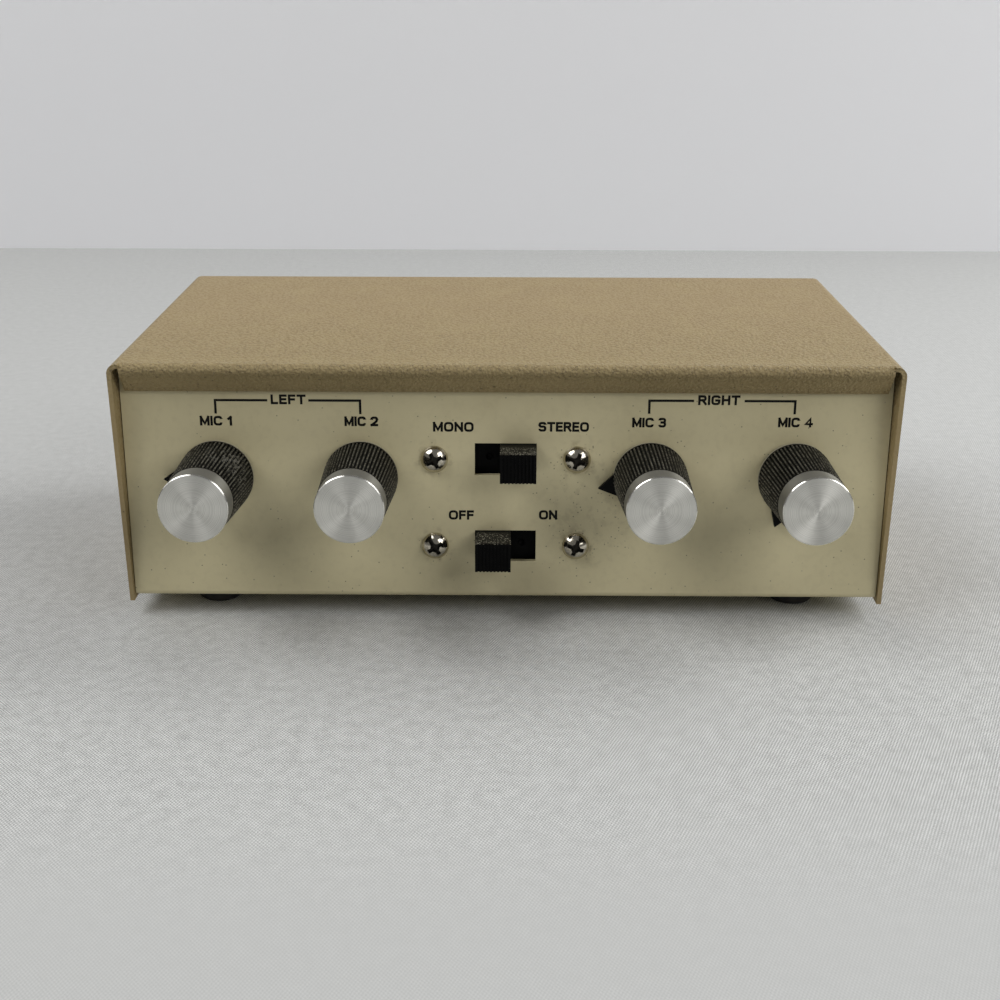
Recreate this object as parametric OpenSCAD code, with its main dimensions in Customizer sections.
// Four-channel microphone mixer in a folded steel case: a wrinkle-painted cover
// with a front lip, a painted chassis whose front panel leans back, four knobs
// with spun caps, two slide switches, and the parts behind the two panels.
// Millimetres, +Z up, +X to the right, the front panel faces -Y.

/* [Cover] */
// Width of the cover, outside
case_w = 155; // [150:0.5:175]
// Height of the cover from its lower edge to its top
case_h = 50.5; // [49.5:0.5:60]
// Depth of the cover from front edge to rear edge
case_d = 79.6; // [78.6:0.2:100]
// Sheet thickness of the cover
cover_t = 0.9; // [0.7:0.1:1.1]
// Outside radius of the cover's two long top edges
edge_r = 2; // [1.3:0.1:3]
// Outside radius of the fold between the top and the front lip
fold_r = 1.3; // [1.2:0.1:1.8]
// Depth of the lip's lower edge below the top
lip_drop = 5.8; // [4.5:0.1:6.5]
// Space between the lip and the front panel
lip_gap = 0.15; // [0.05:0.05:0.3]
// Open slot between each end of the lip and the side plate
corner_gap = 1.4; // [0.8:0.1:2]

/* [Chassis] */
// Sheet thickness of the chassis
chassis_t = 1.2; // [1:0.1:1.5]
// Space between the chassis and each side of the cover
side_gap = 0.2; // [0.1:0.05:0.4]
// Height of the chassis underside above the cover's lower edge
floor_rise = 0.8; // [0.4:0.1:1.5]
// Lean of the front panel, top towards the rear, in degrees
panel_lean = 4.5; // [0:0.5:6]
// Depth of the front panel behind the cover's front edge, at the bottom
panel_setback = 0.6; // [0.4:0.1:1.5]
// Depth of the rear panel behind the cover's rear edge
rear_setback = 2.5; // [0.5:0.5:4]
// Space between the top flanges of the chassis and the cover
top_gap = 0.3; // [0.2:0.05:0.6]
// Width of the flanges folded along the top of both panels
top_flange = 6; // [4:0.5:9]
// Height of the side flanges that the cover is screwed to
side_flange = 9; // [8:0.5:14]
// Distance that the side flanges stop short of each panel
flange_inset = 4; // [3:0.5:8]
// Height of the cover's side screws above the chassis floor
side_screw_rise = 3.4; // [3:0.1:5]
// Distance of the side screws from the front or rear edge of the cover
side_screw_inset = 15.5; // [14:0.5:22]

/* [Knobs] */
// Distance of each outer knob from its side of the cover
knob_side = 19.5; // [17.5:0.5:21.5]
// Distance of the two inner knobs from the middle
knob_inner_x = 29; // [28:0.5:31]
// Height of the knob axes up the panel, from the cover's lower edge
knob_rise = 26.8; // [26:0.2:29]
// Space between the panel and the knob's base ring
knob_gap = 0.6; // [0.5:0.1:1]
// Radius of the plain base ring
ring_r = 7.4; // [7:0.1:7.6]
// Height of the plain base ring
ring_h = 1.2; // [0.8:0.1:1.6]
// Radius of the ribbed barrel next to the base ring
barrel_r = 7.45; // [7.2:0.05:7.6]
// Radius of the ribbed barrel at its top
barrel_top_r = 6.75; // [6.7:0.05:7]
// Length of the ribbed barrel
barrel_l = 15.8; // [14:0.1:18]
// Number of rib places around the barrel
rib_count = 60; // [40:4:72]
// Depth of the grooves between the ribs
rib_depth = 0.35; // [0.15:0.01:0.38]
// Distance of the pointer's tip from the knob axis
pointer_reach = 10.6; // [10:0.1:12]
// Width of the pointer where it meets the barrel
pointer_w = 4.4; // [3:0.1:6]
// Thickness of the pointer
pointer_t = 1; // [0.6:0.1:1.2]
// Depth of the shaft's bore short of the barrel's top
shaft_cover = 2; // [1.5:0.1:4]
// Space left between the nut and the knob, above the nut
knob_recess_gap = 0.6; // [0.4:0.1:1]
// Radius of the aluminium cap
cap_r = 6.6; // [6.4:0.05:6.65]
// Height of the aluminium cap
cap_h = 4.95; // [4:0.05:7]
// Wall of the aluminium cap
cap_t = 0.5; // [0.4:0.05:0.8]
// Bevel around the face of the cap
cap_bevel = 0.25; // [0.1:0.05:0.4]
// Dark line left open between barrel and cap
cap_gap = 0.15; // [0.1:0.05:0.3]
// Play between the cap and the spigot it is pressed on
cap_fit = 0.03; // [0.02:0.01:0.05]

/* [Knob settings] */
// Turn of knob 1 anticlockwise from straight up, in degrees
set_mic_1 = 92.5; // [0:0.5:160]
// Turn of knob 2 anticlockwise from straight up, in degrees
set_mic_2 = 160; // [0:0.5:160]
// Turn of knob 3 anticlockwise from straight up, in degrees
set_mic_3 = 101; // [0:0.5:160]
// Turn of knob 4 anticlockwise from straight up, in degrees
set_mic_4 = 160; // [0:0.5:160]

/* [Potentiometers] */
// Radius of the control's round can
can_r = 8.5; // [8.2:0.1:9]
// Depth of the can
can_l = 6; // [5.5:0.1:8]
// Sheet thickness of the can
can_t = 0.4; // [0.3:0.05:0.6]
// Radius of the threaded bushing
bushing_r = 3.5; // [3.45:0.05:3.6]
// Length of the bushing in front of its mounting plate
bushing_l = 5.5; // [4.8:0.1:6.5]
// Thickness of the bushing's mounting plate
bush_plate_t = 1; // [0.8:0.1:1.4]
// Thickness of the resistance wafer
wafer_t = 1.2; // [1:0.1:1.6]
// Thickness of the wiper disc
rotor_t = 1.4; // [1:0.1:1.8]
// Space around the wiper disc inside the can
rotor_gap = 0.4; // [0.3:0.1:0.8]
// Width of the wafer's tab that carries the solder lugs
tab_w = 14; // [12:0.5:16]
// Reach of the tab beyond the can
tab_reach = 2.2; // [1.6:0.1:3]
// Width of a solder lug
lug_w = 1.8; // [1.4:0.1:2.2]
// Thickness of a solder lug
lug_t = 0.4; // [0.3:0.05:0.5]
// Length of a solder lug
lug_l = 6; // [4.5:0.5:6]
// Lap of a solder lug on the tab
lug_lap = 1.4; // [1:0.1:1.6]
// Distance between the solder lugs
lug_pitch = 5; // [4.5:0.1:5.4]
// Radius of the control shaft
shaft_r = 3; // [2.9:0.05:3.1]
// Running clearance between shaft and bushing
shaft_play = 0.05; // [0.02:0.01:0.09]
// Distance from the shaft axis to its driving flat
shaft_flat = 1.6; // [1.4:0.1:2.2]
// Play between the shaft and the bore of the knob
knob_fit = 0.03; // [0.02:0.01:0.05]
// Distance across the flats of the mounting nut
pot_nut_af = 10; // [9.6:0.1:10.2]
// Thickness of the mounting nut
pot_nut_t = 1.8; // [1.5:0.1:2]
// Radius of the washer below the mounting nut
wash_r = 5.2; // [5:0.1:5.5]
// Thickness of the washer below the mounting nut
washer_t = 0.4; // [0.3:0.05:0.6]
// Space left around the nut inside the knob
nut_room = 0.3; // [0.2:0.05:0.4]

/* [Slide switches] */
// Height of the mode switch up the panel
mode_rise = 30.4; // [29.5:0.1:33]
// Height of the power switch up the panel
power_rise = 12.1; // [12:0.1:14]
// Distance between the two screws of a switch
screw_pitch = 28.6; // [28.2:0.1:29.5]
// Width of the slot in the panel
slot_w = 12.4; // [11.8:0.1:12.6]
// Height of the slot in the panel
slot_h = 6.6; // [6.2:0.1:6.8]
// Width of the sliding button
button_w = 7.1; // [6:0.1:7.4]
// Space above the button in its slot
button_gap = 0.15; // [0.1:0.05:0.25]
// Height of the middle of the button above the middle of its slot
button_lift = 0.25; // [0:0.05:0.3]
// Space left beside the button at the end of its stroke
stop_gap = 0.2; // [0.1:0.05:0.4]
// Reach of the button in front of the panel
button_reach = 8.5; // [6:0.1:10]
// Number of finger grooves across the button
groove_count = 9; // [5:1:11]
// Width and depth of a finger groove
groove_w = 0.32; // [0.2:0.02:0.4]
// Thickness of the switch's mounting bracket
bracket_t = 1; // [0.8:0.1:1.4]
// Length of the switch's mounting bracket
bracket_l = 35.6; // [35:0.1:38]
// Height of the switch's mounting bracket
bracket_h = 12.9; // [12.4:0.1:14]
// Depth of the switch housing behind the bracket
housing_l = 7; // [6.5:0.1:9]
// Sheet thickness of the switch housing
housing_t = 0.5; // [0.4:0.05:0.7]
// Space between the housing and the bracket's long edges
housing_step = 0.4; // [0.2:0.1:0.8]
// Thickness of the base that closes the housing
base_t = 1.4; // [1:0.1:2]
// Space around the panel's slot in the bracket behind it
window_gap = 0.4; // [0.2:0.1:0.8]
// Lap of the sliding plate above and below the bracket's window
plate_lap = 0.7; // [0.5:0.1:1.2]
// Thickness of the sliding plate
plate_t = 0.9; // [0.7:0.1:1.2]
// Space in front of the sliding plate and at its ends
slide_gap = 0.2; // [0.1:0.05:0.4]
// Length of the contact carriage behind the plate
carriage_l = 12; // [8:0.5:15]
// Height of the contact carriage
carriage_h = 8; // [5:0.5:9]
// Depth of the contact carriage
carriage_d = 4.4; // [3:0.1:4.8]
// Radius of the mark pressed into each end of the plate
dimple_r = 0.9; // [0.5:0.05:1]
// Distance of the marks from the middle of the plate
dimple_x = 5.7; // [5.4:0.1:6.2]

/* [Fasteners] */
// Radius of the screw shanks
screw_r = 1.5; // [1.4:0.05:1.6]
// Radius of the pan heads
head_r = 2.75; // [2.6:0.05:3]
// Height of the pan heads
head_h = 1.9; // [1.8:0.1:2.2]
// Distance across the flats of the small nuts
nut_af = 5.5; // [5.3:0.1:6]
// Thickness of the small nuts
nut_t = 2.4; // [2:0.1:2.6]
// Height of the domed part of a pan head
head_dome = 1.6; // [1.2:0.1:1.7]
// Length across the cross recess
recess_l = 3.4; // [3:0.1:3.8]
// Width of each slot of the cross recess
recess_w = 0.85; // [0.6:0.05:1]
// Depth of the cross recess
recess_deep = 1.2; // [0.8:0.1:1.4]
// Radius of the wide middle of the cross recess, at its mouth
recess_mouth_r = 1; // [0.7:0.05:1.2]
// Length of a screw past its nut or tapped hole
screw_past = 0.8; // [0.4:0.1:1.5]
// Clearance around a screw in a plain hole
hole_gap = 0.1; // [0.05:0.01:0.2]
// Play in a tapped hole
thread_gap = 0.02; // [0.01:0.01:0.03]

/* [Feet] */
// Space between a foot's recess and the screw head in it
recess_gap = 0.5; // [0.3:0.1:0.8]
// Height of the cover's lower edge above the table
foot_drop = 3.5; // [2.5:0.1:6]
// Radius of a foot where it meets the chassis
foot_r = 5.3; // [5:0.1:6.5]
// Radius of a foot at the table
foot_base_r = 4.8; // [4.6:0.1:6]
// Distance of each foot from its side of the cover
foot_side = 16.5; // [11.5:0.5:19.5]
// Distance of a foot's centre from the front or rear edge of the cover
foot_inset = 11.5; // [11:0.5:16]
// Height of the recess that takes the screw head
foot_recess = 2.3; // [2.1:0.1:2.6]
// Width of the bevel around a foot's lower rim
foot_rim = 0.5; // [0.3:0.1:1]

/* [Microphone jacks] */
// Height of the rear jacks above the cover's lower edge
jack_rise = 30.5; // [29.5:0.5:32.5]
// Radius of the jack's bore
jack_bore_r = 3.2; // [3.18:0.01:3.25]
// Radius of the jack's threaded sleeve
sleeve_r = 4.7; // [4.6:0.05:4.8]
// Reach of the sleeve behind the rear panel
sleeve_reach = 6.3; // [5.5:0.1:9]
// Radius of the flange inside the panel
jack_flange_r = 7; // [6.6:0.1:8]
// Thickness of the flange
jack_flange_t = 1.5; // [1:0.1:2]
// Distance across the flats of the jack nut
jack_nut_af = 12.7; // [12:0.1:13]
// Thickness of the jack nut
jack_nut_t = 2.4; // [2:0.1:3]
// Margin of the jack's washer around its nut
washer_margin = 0.6; // [0.3:0.1:1]
// Width of the contact frame
frame_w = 10; // [8:0.5:12]
// Margin of the frame's front plate past the plug's bore
plate_margin = 1.6; // [1:0.1:2]
// Length of the insulating block on the contact frame
block_l = 6; // [4:0.5:8]
// Space between the plug's path and the contact spring
plug_gap = 0.3; // [0.2:0.1:0.8]
// Width of the contact spring
spring_w = 4; // [3:0.5:6]
// Thickness of the contact spring
spring_t = 0.35; // [0.3:0.05:0.5]
// Distance of the spring's tip from the frame's front plate
spring_end = 3; // [2:0.5:6]
// Length of the contact frame inside the case
frame_l = 23; // [21:0.5:25]
// Sheet thickness of the contact frame
frame_t = 1.2; // [0.8:0.1:1.5]

/* [Line jacks] */
// Distance of each line jack from the middle
line_x = 9; // [8.5:0.5:14]
// Radius of the plug collar on the line jack
collar_r = 4.15; // [4:0.05:4.2]
// Length of the plug collar
collar_l = 7.5; // [6:0.1:9]
// Radius of the threaded shank through the panel
shank_r = 3.9; // [3.8:0.05:4]
// Distance across the flats of the line jack and its nut
line_af = 11; // [10.5:0.1:12]
// Thickness of the hexagon and of the nut
line_hex_t = 2; // [1.6:0.1:2.5]
// Radius of the centre contact's bore
pin_bore_r = 1.6; // [1.59:0.01:1.65]
// Wall of the centre contact
pin_wall = 0.3; // [0.25:0.05:0.4]
// Wall of the plug collar
collar_t = 0.6; // [0.5:0.05:0.8]
// Wall of the threaded shank
shank_t = 1; // [0.8:0.1:1.2]
// Reach of the shank inside the rear panel
shank_back = 6; // [5:0.5:8]
// Depth of the insulator's face inside the collar
face_inset = 0.8; // [0.4:0.1:2]
// Thickness of the collar's floor behind the insulator's wide part
collar_floor = 0.5; // [0.4:0.1:0.8]
// Thickness of the closed end of the centre contact
contact_floor = 1; // [0.5:0.1:2]
// Length of the centre contact's solder tail
tail_l = 4; // [3:0.5:6]
// Radius of the solder tail
tail_r = 0.8; // [0.5:0.1:1.2]

/* [Circuit board] */
// Space between the end of the board and the battery's connector
board_gap = 10.8; // [8:0.2:14]
// Depth of the circuit board
board_w = 28; // [26:0.5:29]
// Thickness of the circuit board
board_t = 1.6; // [1.2:0.1:2]
// Height of the board's spacers
spacer_h = 6; // [5:0.5:8]
// Radius of the board's spacers
spacer_r = 3; // [2.6:0.1:3.4]
// Distance of the board from the cover's right side
board_inset = 5.5; // [5:0.5:8]
// Distance of the board from the cover's front edge
board_front = 20.5; // [19.5:0.5:21]
// Distance of the spacers from the board's edges
spacer_inset = 3.5; // [3.4:0.1:4.5]
// Distance between the spacers and the nearest parts on the board
board_margin = 5; // [4:0.5:6]
// Parts in each row across the board
part_count = 6; // [4:1:6]
// Distance between the two rows of resistors
resistor_pitch = 4; // [3.4:0.1:5]
// Radius of a transistor
transistor_r = 2.4; // [2.2:0.1:2.8]
// Height of a transistor's case
transistor_h = 4.8; // [4:0.1:5.5]
// Radius of a capacitor
capacitor_r = 3; // [2.5:0.1:3.2]
// Height of a capacitor
capacitor_h = 8.5; // [6:0.5:11]
// Radius of a resistor
resistor_r = 1.15; // [0.9:0.05:1.3]
// Length of a resistor's body
resistor_l = 6.2; // [5:0.1:6.6]
// Radius of the component leads
lead_r = 0.3; // [0.25:0.05:0.35]
// Height of a transistor's case above the board
transistor_stand = 2.5; // [1.5:0.5:4]
// Distance between the leads of a transistor
lead_pitch = 1.27; // [1.2:0.01:1.4]
// Distance from a transistor's axis to its flat side
transistor_flat = 1.6; // [1.2:0.1:1.8]
// Space between a resistor and the board
resistor_stand = 0.8; // [0.4:0.1:1.5]
// Reach of a resistor's leads past its body before they turn down
resistor_lead = 1; // [0.6:0.1:1.4]

/* [Battery] */
// Length of the battery
battery_l = 48.5; // [46:0.5:49]
// Depth of the battery as it lies
battery_w = 26.5; // [25:0.5:27]
// Height of the battery as it lies
battery_h = 17.5; // [16:0.5:17.5]
// Distance of the battery from the cover's left side
battery_inset = 6; // [5.5:0.5:8]
// Distance of the battery from the cover's front edge
battery_front = 21; // [20:0.5:22]
// Sheet thickness of the battery clip
clip_t = 0.6; // [0.5:0.1:0.8]
// Width of the battery clip
clip_w = 16; // [12:1:24]
// Height of the clip's arms
clip_arm = 14; // [8:0.5:15]
// Space between the battery and each arm of its clip
clip_gap = 0.1; // [0.05:0.05:0.3]
// Thickness of the rivet's heads
rivet_head_t = 0.5; // [0.4:0.1:0.8]
// Radius of the battery's long corners
battery_corner = 2.5; // [1.5:0.5:4]
// Space between the rim of the snap connector and the battery's edges
snap_inset = 1; // [0.5:0.1:1.5]
// Thickness of the snap connector beyond the studs
snap_t = 1.2; // [0.8:0.1:2]
// Radius of the battery's round stud
stud_r = 2.85; // [2.8:0.05:2.9]
// Radius of the battery's crown stud
crown_r = 3.6; // [3.4:0.05:3.8]
// Height of the studs
stud_h = 3; // [2.8:0.1:3.2]
// Distance between the studs
stud_pitch = 12.7; // [12.5:0.1:13]

/* [Hidden] */

$fn = 64;
// How far a cutting shape runs past the face it cuts
past = 1;

// Knob places from left to right, and how far each is turned
knob_outer_x = case_w / 2 - knob_side;
knob_xs = [-knob_outer_x, -knob_inner_x, knob_inner_x, knob_outer_x];
knob_turns = [set_mic_1, set_mic_2, set_mic_3, set_mic_4];
knob_l = knob_gap + ring_h + barrel_l + cap_gap + cap_h;
barrel_top = knob_gap + ring_h + barrel_l;
nut_top = washer_t + pot_nut_t;
nut_corner_r = pot_nut_af / 2 / cos(30);
nut_recess_r = nut_corner_r + nut_room;
bushing_top = bushing_l - chassis_t;

// Panel planes, in the frame of the cover's lower front edge
function panel_y(rise) = panel_setback + rise * sin(panel_lean);
rear_y = case_d - rear_setback;
chassis_half = case_w / 2 - cover_t - side_gap;
chassis_top = case_h - cover_t - top_gap;
floor_top = floor_rise + chassis_t;

// Slide switch sizes that follow from the slot and the button
stroke = slot_w - button_w - 2 * stop_gap;
button_h = slot_h - 2 * (button_gap + button_lift);
window_w = slot_w + 2 * window_gap;
window_h = slot_h + 2 * window_gap;
plate_l = slot_w + stroke + 2 * stop_gap;
plate_h = window_h + 2 * plate_lap;
housing_w = plate_l + stroke + 2 * stop_gap + 2 * housing_t + 2 * slide_gap;
housing_h = bracket_h - 2 * housing_step;
switch_back = chassis_t + bracket_t;

// The whole part is centred on its own depth
tip_y = panel_y(knob_rise) - knob_l * cos(panel_lean) - cap_r * sin(panel_lean);
line_reach = washer_t * 2 + line_hex_t + collar_l;
tail_y = rear_y + max(line_reach, sleeve_reach);
mid_y = (tip_y + tail_y) / 2;

// Rear layout, board and battery places
jack_xs = knob_xs;
snap_end = battery_inset + battery_l + stud_h + snap_t;
board_l = case_w - board_inset - board_gap - snap_end;
board_x = case_w / 2 - board_inset - board_l / 2;
board_y = board_front + board_w / 2;
board_z = floor_top + spacer_h;
battery_x = -case_w / 2 + battery_inset + battery_l / 2;
battery_y = battery_front + battery_w / 2;
battery_z = floor_top + clip_t + rivet_head_t;
foot_x = case_w / 2 - foot_side;
foot_ys = [foot_inset, case_d - foot_inset];
side_screw_z = floor_top + side_screw_rise;
side_screw_ys = [side_screw_inset, case_d - side_screw_inset];

// ---------- frames ----------

// From the lower front edge of the cover to the part's own origin
module in_case() {
    translate([0, -mid_y, foot_drop]) children();
}

// A place on the front panel: x across, y up the panel, z out of its face
module on_panel(x, rise) {
    in_case()
        translate([x, panel_y(rise), rise * cos(panel_lean)])
            rotate([90 - panel_lean, 0, 0]) children();
}

// A place on the rear panel: y up, z out of its face
module on_rear(x, rise) {
    in_case()
        translate([x, rear_y, rise])
            rotate([90, 0, 180]) children();
}

// ---------- shared shapes ----------

module hexagon(af, h, bore_r) {
    difference() {
        cylinder(h = h, r = af / 2 / cos(30), $fn = 6);
        translate([0, 0, -past]) cylinder(h = h + 2 * past, r = bore_r);
    }
}

module washer(r, h, bore_r) {
    difference() {
        cylinder(h = h, r = r);
        translate([0, 0, -past]) cylinder(h = h + 2 * past, r = bore_r);
    }
}

// A box centred in x and y that stands on z = 0
module block(x, y, z) {
    translate([-x / 2, -y / 2, 0]) cube([x, y, z]);
}

module rounded_rect(x, y, r) {
    square([x - 2 * r, y], center = true);
    square([x, y - 2 * r], center = true);
    for (sx = [-1, 1], sy = [-1, 1])
        translate([sx * (x / 2 - r), sy * (y / 2 - r)]) circle(r = r);
}

// Pan-head screw with a cross recess: the head sits on z = 0, the shank runs down
module pan_screw(shank_l, turn = 45) {
    dome_r = (head_r * head_r + head_dome * head_dome) / 2 / head_dome;
    difference() {
        union() {
            intersection() {
                cylinder(h = head_h, r = head_r);
                translate([0, 0, head_h - dome_r]) sphere(r = dome_r, $fn = 96);
            }
            translate([0, 0, -shank_l]) cylinder(h = shank_l + past / 2, r = screw_r);
        }
        for (a = [0, 90])
            rotate(turn + a)
                translate([0, 0, head_h - recess_deep])
                    block(recess_l, recess_w, recess_deep + past);
        translate([0, 0, head_h - recess_deep])
            cylinder(h = recess_deep, r1 = recess_w / 2, r2 = recess_mouth_r);
    }
}

// Flat-sided shaft section
module d_rod(r, flat, h) {
    difference() {
        cylinder(h = h, r = r);
        translate([flat, -r - past, -past]) cube([r + past, 2 * (r + past), h + 2 * past]);
    }
}

// ---------- cover ----------

// The lip leaves the fold at the angle that brings its inner edge to the panel
lip_inner_r = fold_r - cover_t;
lip_edge_z = case_h - lip_drop;
lip_edge_y = panel_setback + lip_edge_z * tan(panel_lean) - lip_gap / cos(panel_lean);
lip_dy = lip_edge_y - fold_r;
lip_dz = case_h - fold_r - lip_edge_z;
lip_dist = sqrt(lip_dy * lip_dy + lip_dz * lip_dz);
lip_angle = atan2(lip_dy, lip_dz) + asin(lip_inner_r / lip_dist);
lip_l = sqrt(lip_dist * lip_dist - lip_inner_r * lip_inner_r);
lip_half = case_w / 2 - cover_t - corner_gap;

// Outline of the U, seen from the front, open at the bottom
module cover_outline() {
    inner_w = case_w - 2 * cover_t;
    inner_r = edge_r - cover_t;
    difference() {
        cover_section(case_w, case_h, edge_r);
        translate([0, -past]) cover_section(inner_w, case_h - cover_t + past, inner_r);
    }
}

module cover_section(w, h, r) {
    translate([-w / 2, 0]) square([w, h - r]);
    translate([-w / 2 + r, 0]) square([w - 2 * r, h]);
    for (s = [-1, 1]) translate([s * (w / 2 - r), h - r]) circle(r = r);
}

// Fold and lip, seen from the side: first axis is depth, second is height
module lip_profile() {
    translate([fold_r, case_h - fold_r]) {
        difference() {
            circle(r = fold_r);
            circle(r = lip_inner_r);
            // keep the stretch of the ring from the top round to the lip
            translate([0, -fold_r - past]) square([fold_r + past, 2 * (fold_r + past)]);
            rotate(180 + lip_angle) square([fold_r + past, fold_r + past]);
        }
        // the flat lip, from the fold down to its edge
        rotate(lip_angle)
            translate([-fold_r, -lip_l]) square([cover_t, lip_l]);
    }
}

module cover() {
    color("tan")
        in_case()
            difference() {
                union() {
                    difference() {
                        translate([0, case_d, 0]) rotate([90, 0, 0])
                            linear_extrude(case_d) cover_outline();
                        translate([-lip_half, -past, case_h - 2 * fold_r])
                            cube([2 * lip_half, fold_r + past, 2 * fold_r + past]);
                    }
                    translate([-lip_half, 0, 0]) rotate([90, 0, 90])
                        linear_extrude(2 * lip_half) lip_profile();
                }
                for (y = side_screw_ys, s = [-1, 1])
                    translate([s * case_w / 2, y, side_screw_z]) rotate([0, 90, 0])
                        cylinder(h = 4 * cover_t, r = screw_r + hole_gap, center = true);
            }
}

// ---------- chassis ----------

bend_y = panel_setback + (chassis_t + floor_rise * sin(panel_lean)
    + chassis_t * sin(panel_lean)) / cos(panel_lean);
bend_z = floor_rise + chassis_t;
top_bend_z = chassis_top - chassis_t;
front_l = (top_bend_z - bend_z) / cos(panel_lean);
top_bend_y = bend_y + front_l * sin(panel_lean);
rear_bend_y = rear_y - chassis_t;

// The outer quarter of a bend, seen from the side
module bend(y, z, turn) {
    translate([y, z]) rotate(turn)
        intersection() {
            circle(r = chassis_t);
            square(chassis_t);
        }
}

// Leaning sheet with its two bends and its top flange, seen from the side
module front_profile() {
    bend(bend_y, bend_z, 180);
    bend(bend_y, bend_z, 180 - panel_lean);
    translate([bend_y, bend_z]) rotate(-panel_lean)
        translate([-chassis_t, 0]) square([chassis_t, front_l]);
    bend(top_bend_y, top_bend_z, 90);
    translate([top_bend_y, top_bend_z]) square([top_flange - chassis_t, chassis_t]);
}

// Upright sheet with its two bends and its top flange, seen from the side
module rear_profile() {
    bend(rear_bend_y, bend_z, -90);
    translate([rear_bend_y, bend_z]) square([chassis_t, top_bend_z - bend_z]);
    bend(rear_bend_y, top_bend_z, 0);
    translate([rear_y - top_flange, top_bend_z]) square([top_flange - chassis_t, chassis_t]);
}

// A sheet across the whole chassis, from its outline seen from the side
module across() {
    in_case() translate([-chassis_half, 0, 0]) rotate([90, 0, 90])
        linear_extrude(2 * chassis_half) children();
}

module panel_hole(x, rise, r) {
    on_panel(x, rise)
        translate([0, 0, -chassis_t - past]) cylinder(h = chassis_t + 2 * past, r = r);
}

module front_panel() {
    color("antiquewhite")
        difference() {
            across() front_profile();
            for (x = knob_xs) panel_hole(x, knob_rise, bushing_r + hole_gap);
            for (rise = [mode_rise, power_rise]) {
                on_panel(0, rise) translate([0, 0, -chassis_t - past])
                    block(slot_w, slot_h, chassis_t + 2 * past);
                for (s = [-1, 1])
                    panel_hole(s * screw_pitch / 2, rise, screw_r + hole_gap);
            }
        }
}

// Flat floor between the bends of the two panels, with a flange up each side
module floor_pan() {
    flange_y = panel_y(side_flange) + flange_inset;
    color("antiquewhite")
        difference() {
            union() {
                across() translate([bend_y, floor_rise])
                    square([rear_bend_y - bend_y, chassis_t]);
                in_case() for (s = [0, 1]) mirror([s, 0, 0])
                    translate([chassis_half - chassis_t, flange_y, floor_rise])
                        cube([chassis_t, rear_y - flange_inset - flange_y, side_flange]);
            }
            in_case() {
                for (y = foot_ys, s = [-1, 1]) floor_hole(s * foot_x, y);
                at_spacers() floor_hole(0, 0);
                floor_hole(battery_x, battery_y);
                for (y = side_screw_ys, s = [-1, 1])
                    translate([s * chassis_half, y, side_screw_z]) rotate([0, 90, 0])
                        cylinder(h = 4 * chassis_t, r = screw_r + thread_gap, center = true);
            }
        }
}

module rear_panel() {
    color("antiquewhite")
        difference() {
            across() rear_profile();
            for (x = jack_xs) on_rear(x, jack_rise) translate([0, 0, -chassis_t - past])
                cylinder(h = chassis_t + 2 * past, r = sleeve_r + hole_gap);
            for (s = [-1, 1]) on_rear(s * line_x, jack_rise)
                translate([0, 0, -chassis_t - past])
                    cylinder(h = chassis_t + 2 * past, r = shank_r + hole_gap);
        }
}

module floor_hole(x, y) {
    translate([x, y, floor_rise - past])
        cylinder(h = chassis_t + 2 * past, r = screw_r + hole_gap);
}

// ---------- knobs ----------

// One knob, its axis on z and its pointer along +X, z = 0 on the panel
module knob_body() {
    slant = atan((barrel_r - barrel_top_r) / barrel_l);
    spigot_r = cap_r - cap_t - cap_fit;
    spigot_top = barrel_top + cap_gap + cap_h - cap_t;
    groove_side = rib_depth * sqrt(2);
    pointer_root = barrel_r - rib_depth;
    difference() {
        union() {
            translate([0, 0, knob_gap]) cylinder(h = ring_h, r = ring_r, $fn = 96);
            translate([0, 0, knob_gap + ring_h])
                cylinder(h = barrel_l, r1 = barrel_r, r2 = barrel_top_r, $fn = 96);
            translate([0, 0, barrel_top])
                cylinder(h = spigot_top - barrel_top, r = spigot_r);
            translate([0, 0, knob_gap])
                linear_extrude(pointer_t)
                    polygon([[0, -pointer_w / 2], [pointer_root, -pointer_w / 2],
                        [pointer_reach, 0], [pointer_root, pointer_w / 2],
                        [0, pointer_w / 2]]);
        }
        for (i = [0 : rib_count - 1])
            rotate((i + 0.5) * 360 / rib_count)
                translate([barrel_r, 0, knob_gap + ring_h])
                    rotate([0, -slant, 0]) rotate(45)
                        translate([-groove_side / 2, -groove_side / 2, 0])
                            cube([groove_side, groove_side, barrel_l + past]);
        translate([0, 0, -past])
            cylinder(h = nut_top + knob_recess_gap + past, r = nut_recess_r);
        translate([0, 0, -past])
            cylinder(h = bushing_top + knob_recess_gap + past, r = bushing_r + nut_room);
        translate([0, 0, bushing_top]) d_rod(shaft_r + knob_fit, shaft_flat + knob_fit,
            shaft_top - bushing_top + knob_fit);
    }
}

shaft_top = barrel_top - shaft_cover;
shaft_back = chassis_t + bush_plate_t + can_l + wafer_t - can_t - rotor_gap;

module on_knob(i) {
    on_panel(knob_xs[i], knob_rise) rotate(90 + knob_turns[i]) children();
}

module knob_mic_1() { color("dimgray") on_knob(0) knob_body(); }
module knob_mic_2() { color("dimgray") on_knob(1) knob_body(); }
module knob_mic_3() { color("dimgray") on_knob(2) knob_body(); }
module knob_mic_4() { color("dimgray") on_knob(3) knob_body(); }

// Spun aluminium cup pressed over the knob's spigot
module knob_cap() {
    foot_z = barrel_top + cap_gap;
    face_z = foot_z + cap_h;
    rotate_extrude($fn = 96)
        polygon([[0, face_z - cap_t], [cap_r - cap_t, face_z - cap_t], [cap_r - cap_t, foot_z],
            [cap_r, foot_z], [cap_r, face_z - cap_bevel], [cap_r - cap_bevel, face_z],
            [0, face_z]]);
}

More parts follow.
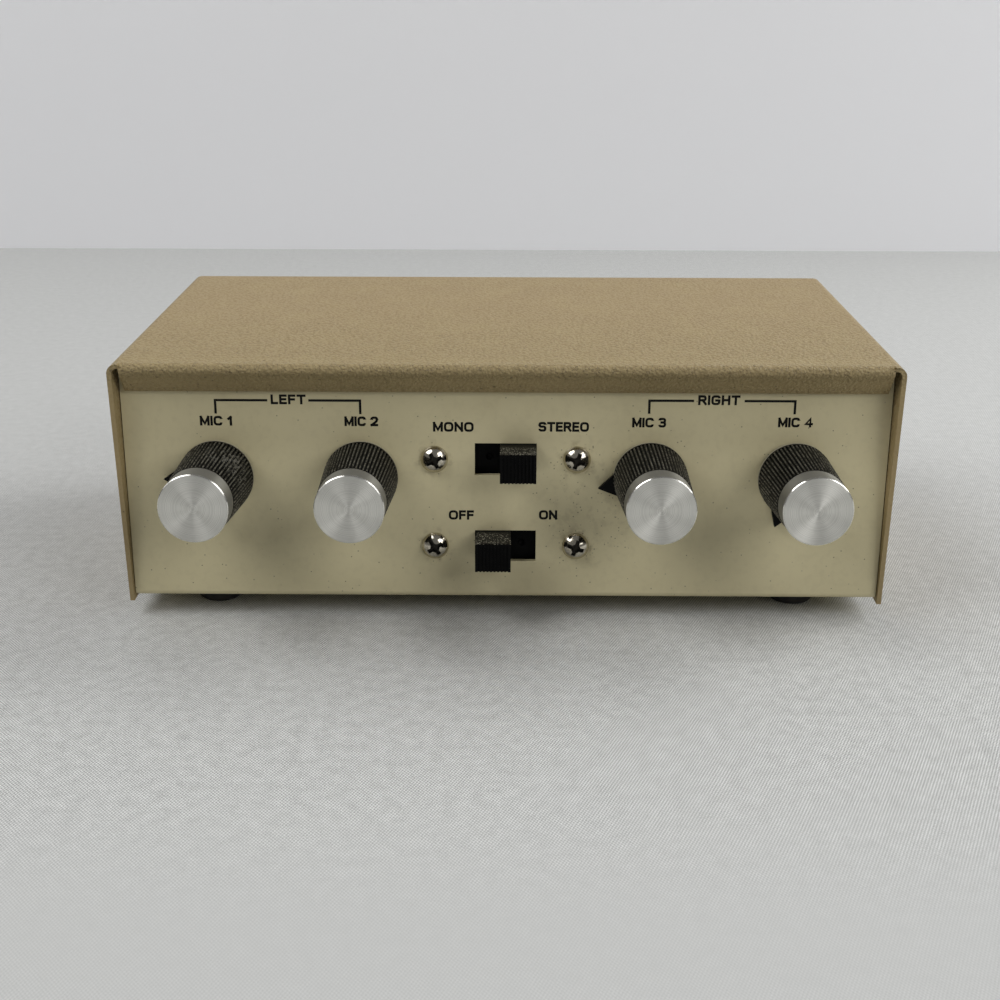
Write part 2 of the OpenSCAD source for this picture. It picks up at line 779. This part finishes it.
module cap_mic_1() { color("silver") on_knob(0) knob_cap(); }
module cap_mic_2() { color("silver") on_knob(1) knob_cap(); }
module cap_mic_3() { color("silver") on_knob(2) knob_cap(); }
module cap_mic_4() { color("silver") on_knob(3) knob_cap(); }

// ---------- potentiometers ----------

wafer_front = -chassis_t - bush_plate_t;
can_front = wafer_front - wafer_t;
rotor_r = can_r - can_t - rotor_gap;
rotor_front = can_front - (can_l - can_t - rotor_t) / 2;

// Shaft with the wiper disc that turns inside the can
module pot_shaft() {
    difference() {
        translate([0, 0, -shaft_back]) cylinder(h = shaft_back + shaft_top, r = shaft_r);
        translate([shaft_flat, -shaft_r - past, bushing_top])
            cube([shaft_r, 2 * (shaft_r + past), shaft_top]);
    }
    translate([0, 0, rotor_front - rotor_t]) cylinder(h = rotor_t, r = rotor_r);
}

module shaft_mic_1() { color("lightgray") on_knob(0) pot_shaft(); }
module shaft_mic_2() { color("lightgray") on_knob(1) pot_shaft(); }
module shaft_mic_3() { color("lightgray") on_knob(2) pot_shaft(); }
module shaft_mic_4() { color("lightgray") on_knob(3) pot_shaft(); }

module at_pots() {
    for (x = knob_xs) on_panel(x, knob_rise) children();
}

module pot_bushings() {
    color("darkkhaki") at_pots()
        difference() {
            union() {
                translate([0, 0, wafer_front]) cylinder(h = bush_plate_t, r = can_r);
                translate([0, 0, wafer_front]) cylinder(h = bush_plate_t + bushing_l, r = bushing_r);
            }
            translate([0, 0, wafer_front - past])
                cylinder(h = bush_plate_t + bushing_l + 2 * past, r = shaft_r + shaft_play);
        }
}

module pot_washers() {
    color("gainsboro") at_pots() washer(wash_r, washer_t, bushing_r + thread_gap);
}

module pot_nuts() {
    color("darkkhaki") at_pots()
        translate([0, 0, washer_t]) hexagon(pot_nut_af, pot_nut_t, bushing_r + thread_gap);
}

module pot_wafers() {
    color("peru") at_pots()
        translate([0, 0, can_front])
            difference() {
                union() {
                    cylinder(h = wafer_t, r = can_r);
                    translate([-tab_w / 2, -can_r - tab_reach, 0])
                        cube([tab_w, can_r + tab_reach, wafer_t]);
                }
                translate([0, 0, -past])
                    cylinder(h = wafer_t + 2 * past, r = shaft_r + rotor_gap);
            }
}

module pot_cans() {
    color("silver") at_pots()
        translate([0, 0, can_front - can_l])
            difference() {
                cylinder(h = can_l, r = can_r);
                translate([0, 0, can_t]) cylinder(h = can_l, r = can_r - can_t);
            }
}

module pot_lugs() {
    lug_end = -can_r - tab_reach - lug_l + lug_lap;
    color("gold") at_pots()
        for (s = [-1, 0, 1])
            translate([s * lug_pitch - lug_w / 2, lug_end, can_front - lug_t])
                cube([lug_w, lug_l, lug_t]);
}

// ---------- slide switches ----------

module at_switches() {
    for (rise = [mode_rise, power_rise]) on_panel(0, rise) children();
}

// Button, retaining plate and contact carriage in one moulding
module slider(shift) {
    plate_front = -switch_back - slide_gap;
    pitch = button_w / (groove_count + 1);
    translate([shift, 0, 0])
        difference() {
            union() {
                translate([0, 0, plate_front - plate_t]) block(plate_l, plate_h, plate_t);
                translate([0, button_lift, plate_front - plate_t])
                    block(button_w, button_h, plate_t - plate_front + button_reach);
                translate([0, 0, plate_front - plate_t - carriage_d])
                    block(carriage_l, carriage_h, carriage_d);
            }
            for (s = [-1, 1])
                translate([s * dimple_x, 0, plate_front + dimple_r / 2]) sphere(r = dimple_r);
            for (i = [0 : groove_count - 1])
                translate([(i - (groove_count - 1) / 2) * pitch, button_lift, button_reach - groove_w])
                    block(groove_w, button_h + 2 * past, groove_w + past);
        }
}

module mode_slider() { color("black") on_panel(0, mode_rise) slider(stroke / 2); }
module power_slider() { color("black") on_panel(0, power_rise) slider(-stroke / 2); }

module switch_brackets() {
    color("silver") at_switches()
        translate([0, 0, -switch_back])
            difference() {
                block(bracket_l, bracket_h, bracket_t);
                translate([0, 0, -past]) block(window_w, window_h, bracket_t + 2 * past);
                for (s = [-1, 1]) translate([s * screw_pitch / 2, 0, -past])
                    cylinder(h = bracket_t + 2 * past, r = screw_r + thread_gap);
            }
}

module switch_housings() {
    color("gainsboro") at_switches()
        translate([0, 0, -switch_back - housing_l])
            difference() {
                block(housing_w, housing_h, housing_l);
                translate([0, 0, -past])
                    block(housing_w - 2 * housing_t, housing_h - 2 * housing_t,
                        housing_l + 2 * past);
            }
}

module switch_bases() {
    color("peru") at_switches()
        translate([0, 0, -switch_back - housing_l - base_t]) block(housing_w, housing_h, base_t);
}

module switch_lugs() {
    color("gold") at_switches()
        for (i = [-1, 0, 1], j = [-1, 1])
            translate([i * lug_pitch, j * lug_pitch / 2,
                -switch_back - housing_l - base_t - lug_l])
                block(lug_w, lug_t, lug_l);
}

// Turns of the four cross recesses, as each screw was driven home
recess_turns = [[26, 70], [33, 71]];

module switch_screws() {
    color("silver")
        for (r = [0, 1], c = [0, 1])
            on_panel((c * 2 - 1) * screw_pitch / 2, [mode_rise, power_rise][r])
                pan_screw(switch_back + screw_past, recess_turns[r][c]);
}

// ---------- outer fasteners and feet ----------

module cover_screws() {
    color("silver")
        in_case()
            for (y = side_screw_ys, s = [-1, 1])
                translate([s * case_w / 2, y, side_screw_z]) rotate([0, s * 90, 0])
                    pan_screw(cover_t + side_gap + chassis_t + screw_past, y);
}

foot_h = foot_drop + floor_rise;

module at_feet() {
    in_case()
        for (y = foot_ys, s = [-1, 1]) translate([s * foot_x, y, -foot_drop]) children();
}

module feet() {
    color("dimgray") at_feet()
        difference() {
            rotate_extrude()
                polygon([[0, 0], [foot_base_r - foot_rim, 0], [foot_base_r, foot_rim], [foot_r, foot_h],
                    [0, foot_h]]);
            translate([0, 0, -past]) cylinder(h = foot_recess + past, r = head_r + recess_gap);
            translate([0, 0, -past]) cylinder(h = foot_h + 2 * past, r = screw_r + hole_gap);
        }
}

module foot_screws() {
    shank = foot_h - foot_recess + chassis_t + nut_t + screw_past;
    color("silver") at_feet()
        translate([0, 0, foot_recess]) rotate([180, 0, 0]) pan_screw(shank);
}

module foot_nuts() {
    color("silver") at_feet()
        translate([0, 0, foot_h + chassis_t]) hexagon(nut_af, nut_t, screw_r + thread_gap);
}

// ---------- circuit board ----------

module at_spacers() {
    for (sx = [-1, 1], sy = [-1, 1])
        translate([board_x + sx * (board_l / 2 - spacer_inset),
            board_y + sy * (board_w / 2 - spacer_inset), 0]) children();
}

module board() {
    color("darkgoldenrod")
        in_case()
            difference() {
                translate([board_x, board_y, board_z]) block(board_l, board_w, board_t);
                at_spacers() translate([0, 0, board_z - past])
                    cylinder(h = board_t + 2 * past, r = screw_r + hole_gap);
            }
}

module board_spacers() {
    color("gold")
        in_case() at_spacers()
            translate([0, 0, floor_top]) washer(spacer_r, spacer_h, screw_r + hole_gap);
}

module board_screws() {
    color("silver")
        in_case() at_spacers()
            translate([0, 0, floor_rise]) rotate([180, 0, 0])
                pan_screw(chassis_t + spacer_h + board_t + nut_t + screw_past);
}

module board_nuts() {
    color("silver")
        in_case() at_spacers()
            translate([0, 0, board_z + board_t]) hexagon(nut_af, nut_t, screw_r + thread_gap);
}

board_top = board_z + board_t;

// One row of places on the board's upper face, y from its middle line
module on_board(count, y) {
    row_l = board_l - 4 * spacer_inset - 2 * board_margin;
    in_case()
        for (i = [0 : count - 1])
            translate([board_x + row_l * (i / (count - 1) - 1 / 2), board_y + y, board_top])
                children();
}

// Distance of the two outer rows from the board's middle line
outer_row = board_w / 2 - board_margin;

module transistors() {
    color("black")
        on_board(part_count, outer_row) {
            translate([0, 0, transistor_stand])
                rotate(-90) d_rod(transistor_r, transistor_flat, transistor_h);
            for (j = [-1, 0, 1])
                translate([j * lead_pitch, 0, 0]) cylinder(h = transistor_stand, r = lead_r);
        }
}

module capacitors() {
    color("steelblue")
        on_board(part_count, -outer_row) cylinder(h = capacitor_h, r = capacitor_r);
}

module resistors() {
    stand = resistor_stand + resistor_r;
    bend = resistor_l / 2 + resistor_lead;
    color("burlywood")
        for (j = [-1, 1])
            on_board(part_count - 1, j * resistor_pitch / 2) {
                translate([-resistor_l / 2, 0, stand]) rotate([0, 90, 0])
                    cylinder(h = resistor_l, r = resistor_r);
                translate([-bend - lead_r, 0, stand]) rotate([0, 90, 0])
                    cylinder(h = 2 * (bend + lead_r), r = lead_r);
                for (s = [-1, 1])
                    translate([s * bend, 0, 0]) cylinder(h = stand, r = lead_r);
            }
}

// ---------- battery ----------

module at_battery() {
    in_case() translate([battery_x, battery_y, battery_z]) children();
}

module battery() {
    color("darkslategray") at_battery()
        translate([-battery_l / 2, 0, battery_h / 2]) rotate([90, 0, 90])
            linear_extrude(battery_l) rounded_rect(battery_w, battery_h, battery_corner);
}

module battery_studs() {
    color("silver") at_battery()
        translate([battery_l / 2, 0, battery_h / 2]) rotate([0, 90, 0]) {
            translate([0, stud_pitch / 2, 0]) cylinder(h = stud_h, r = stud_r);
            translate([0, -stud_pitch / 2, 0]) cylinder(h = stud_h, r = crown_r);
        }
}

module battery_snap() {
    color("black") at_battery()
        translate([battery_l / 2, 0, battery_h / 2]) rotate([0, 90, 0])
            difference() {
                linear_extrude(stud_h + snap_t)
                    rounded_rect(battery_h - 2 * snap_inset, battery_w - 2 * snap_inset,
                        battery_corner);
                translate([0, stud_pitch / 2, -past])
                    cylinder(h = stud_h + past, r = stud_r + hole_gap);
                translate([0, -stud_pitch / 2, -past])
                    cylinder(h = stud_h + past, r = crown_r + hole_gap);
            }
}

module battery_clip() {
    inner = battery_w + 2 * clip_gap;
    color("silver") at_battery()
        translate([-clip_w / 2, 0, -rivet_head_t - clip_t])
            difference() {
                translate([0, -inner / 2 - clip_t, 0])
                    cube([clip_w, inner + 2 * clip_t, clip_arm + clip_t]);
                translate([-past, -inner / 2, clip_t])
                    cube([clip_w + 2 * past, inner, clip_arm + past]);
                translate([clip_w / 2, 0, -past])
                    cylinder(h = clip_t + 2 * past, r = screw_r + hole_gap);
            }
}

module clip_rivet() {
    grip = clip_t + chassis_t;
    color("silver") at_battery()
        translate([0, 0, -rivet_head_t]) {
            cylinder(h = rivet_head_t, r = head_r);
            translate([0, 0, -grip]) cylinder(h = grip, r = screw_r);
            translate([0, 0, -grip - rivet_head_t]) cylinder(h = rivet_head_t, r = head_r);
        }
}

// ---------- microphone jacks ----------

module at_mic_jacks() {
    for (x = jack_xs) on_rear(x, jack_rise) children();
}

flange_back = chassis_t + jack_flange_t;
// The frame's plate reaches from its long strip to the far side of the plug's way
plate_over = jack_bore_r + plate_margin;
spring_y = -jack_bore_r - plug_gap;

module mic_jack_sleeves() {
    color("silver") at_mic_jacks()
        difference() {
            union() {
                translate([0, 0, -flange_back]) cylinder(h = jack_flange_t, r = jack_flange_r);
                translate([0, 0, -flange_back])
                    cylinder(h = flange_back + sleeve_reach, r = sleeve_r);
            }
            translate([0, 0, -flange_back - past])
                cylinder(h = flange_back + sleeve_reach + 2 * past, r = jack_bore_r);
        }
}

module mic_jack_washers() {
    color("gainsboro") at_mic_jacks()
        washer(jack_nut_af / 2 + washer_margin, washer_t, sleeve_r + thread_gap);
}

module mic_jack_nuts() {
    color("silver") at_mic_jacks()
        translate([0, 0, washer_t]) hexagon(jack_nut_af, jack_nut_t, sleeve_r + thread_gap);
}

module mic_jack_frames() {
    color("gainsboro") at_mic_jacks()
        difference() {
            union() {
                translate([-frame_w / 2, -jack_flange_r - frame_t, -flange_back - frame_t])
                    cube([frame_w, jack_flange_r + frame_t + plate_over, frame_t]);
                translate([-frame_w / 2, -jack_flange_r - frame_t, -flange_back - frame_l])
                    cube([frame_w, frame_t, frame_l]);
            }
            translate([0, 0, -flange_back - frame_t - past])
                cylinder(h = frame_t + 2 * past, r = jack_bore_r + plug_gap);
        }
}

module mic_jack_blocks() {
    color("peru") at_mic_jacks()
        translate([-frame_w / 2, -jack_flange_r, -flange_back - frame_l])
            cube([frame_w, jack_flange_r + spring_y - spring_t, block_l]);
}

// Flat contact spring that rises to a rounded tip beside the plug
module mic_jack_springs() {
    spring_l = frame_l - frame_t - spring_end;
    color("gold") at_mic_jacks()
        translate([-spring_w / 2, spring_y - spring_t, -flange_back - frame_l]) {
            cube([spring_w, spring_t, spring_l]);
            translate([0, 0, spring_l]) rotate([0, 90, 0])
                cylinder(h = spring_w, r = spring_t);
        }
}

// ---------- line jacks ----------

module at_line_jacks() {
    for (s = [-1, 1]) on_rear(s * line_x, jack_rise) children();
}

line_washer_t = 2 * washer_t;
hex_top = line_washer_t + line_hex_t;
core_r = shank_r - shank_t;
core_top_r = collar_r - collar_t;
core_step = hex_top + collar_floor;
core_top = line_reach - face_inset;

module line_jack_bodies() {
    color("silver") at_line_jacks()
        difference() {
            union() {
                translate([0, 0, -shank_back]) cylinder(h = shank_back + hex_top, r = shank_r);
                translate([0, 0, line_washer_t])
                    cylinder(h = line_hex_t, r = line_af / 2 / cos(30), $fn = 6);
                translate([0, 0, hex_top]) cylinder(h = collar_l, r = collar_r);
            }
            translate([0, 0, -shank_back - past])
                cylinder(h = shank_back + core_step + past, r = core_r);
            translate([0, 0, core_step]) cylinder(h = collar_l + past, r = core_top_r);
        }
}

module line_jack_washers() {
    color("peru") at_line_jacks()
        washer(line_af / 2 + washer_margin, line_washer_t, shank_r + thread_gap);
}

module line_jack_insulators() {
    color("ivory") at_line_jacks()
        difference() {
            union() {
                translate([0, 0, -shank_back]) cylinder(h = shank_back + core_step, r = core_r);
                translate([0, 0, core_step]) cylinder(h = core_top - core_step, r = core_top_r);
            }
            translate([0, 0, -shank_back - past])
                cylinder(h = shank_back + core_top + 2 * past, r = pin_bore_r + pin_wall);
        }
}

module line_jack_contacts() {
    color("gold") at_line_jacks() {
        difference() {
            translate([0, 0, -shank_back])
                cylinder(h = shank_back + core_top, r = pin_bore_r + pin_wall);
            translate([0, 0, contact_floor - shank_back])
                cylinder(h = shank_back + core_top + past, r = pin_bore_r);
        }
        translate([0, 0, -shank_back - tail_l]) cylinder(h = tail_l, r = tail_r);
    }
}

module line_jack_nuts() {
    color("silver") at_line_jacks()
        translate([0, 0, -chassis_t - line_hex_t])
            hexagon(line_af, line_hex_t, shank_r + thread_gap);
}

// ---------- the part ----------

cover();
front_panel();
floor_pan();
rear_panel();
knob_mic_1();
knob_mic_2();
knob_mic_3();
knob_mic_4();
cap_mic_1();
cap_mic_2();
cap_mic_3();
cap_mic_4();
shaft_mic_1();
shaft_mic_2();
shaft_mic_3();
shaft_mic_4();
pot_bushings();
pot_washers();
pot_nuts();
pot_wafers();
pot_cans();
pot_lugs();
mode_slider();
power_slider();
switch_brackets();
switch_housings();
switch_bases();
switch_lugs();
switch_screws();
cover_screws();
feet();
foot_screws();
foot_nuts();
board();
board_spacers();
board_screws();
board_nuts();
transistors();
capacitors();
resistors();
battery();
battery_studs();
battery_snap();
battery_clip();
clip_rivet();
mic_jack_sleeves();
mic_jack_washers();
mic_jack_nuts();
mic_jack_frames();
mic_jack_blocks();
mic_jack_springs();
line_jack_bodies();
line_jack_washers();
line_jack_insulators();
line_jack_contacts();
line_jack_nuts();
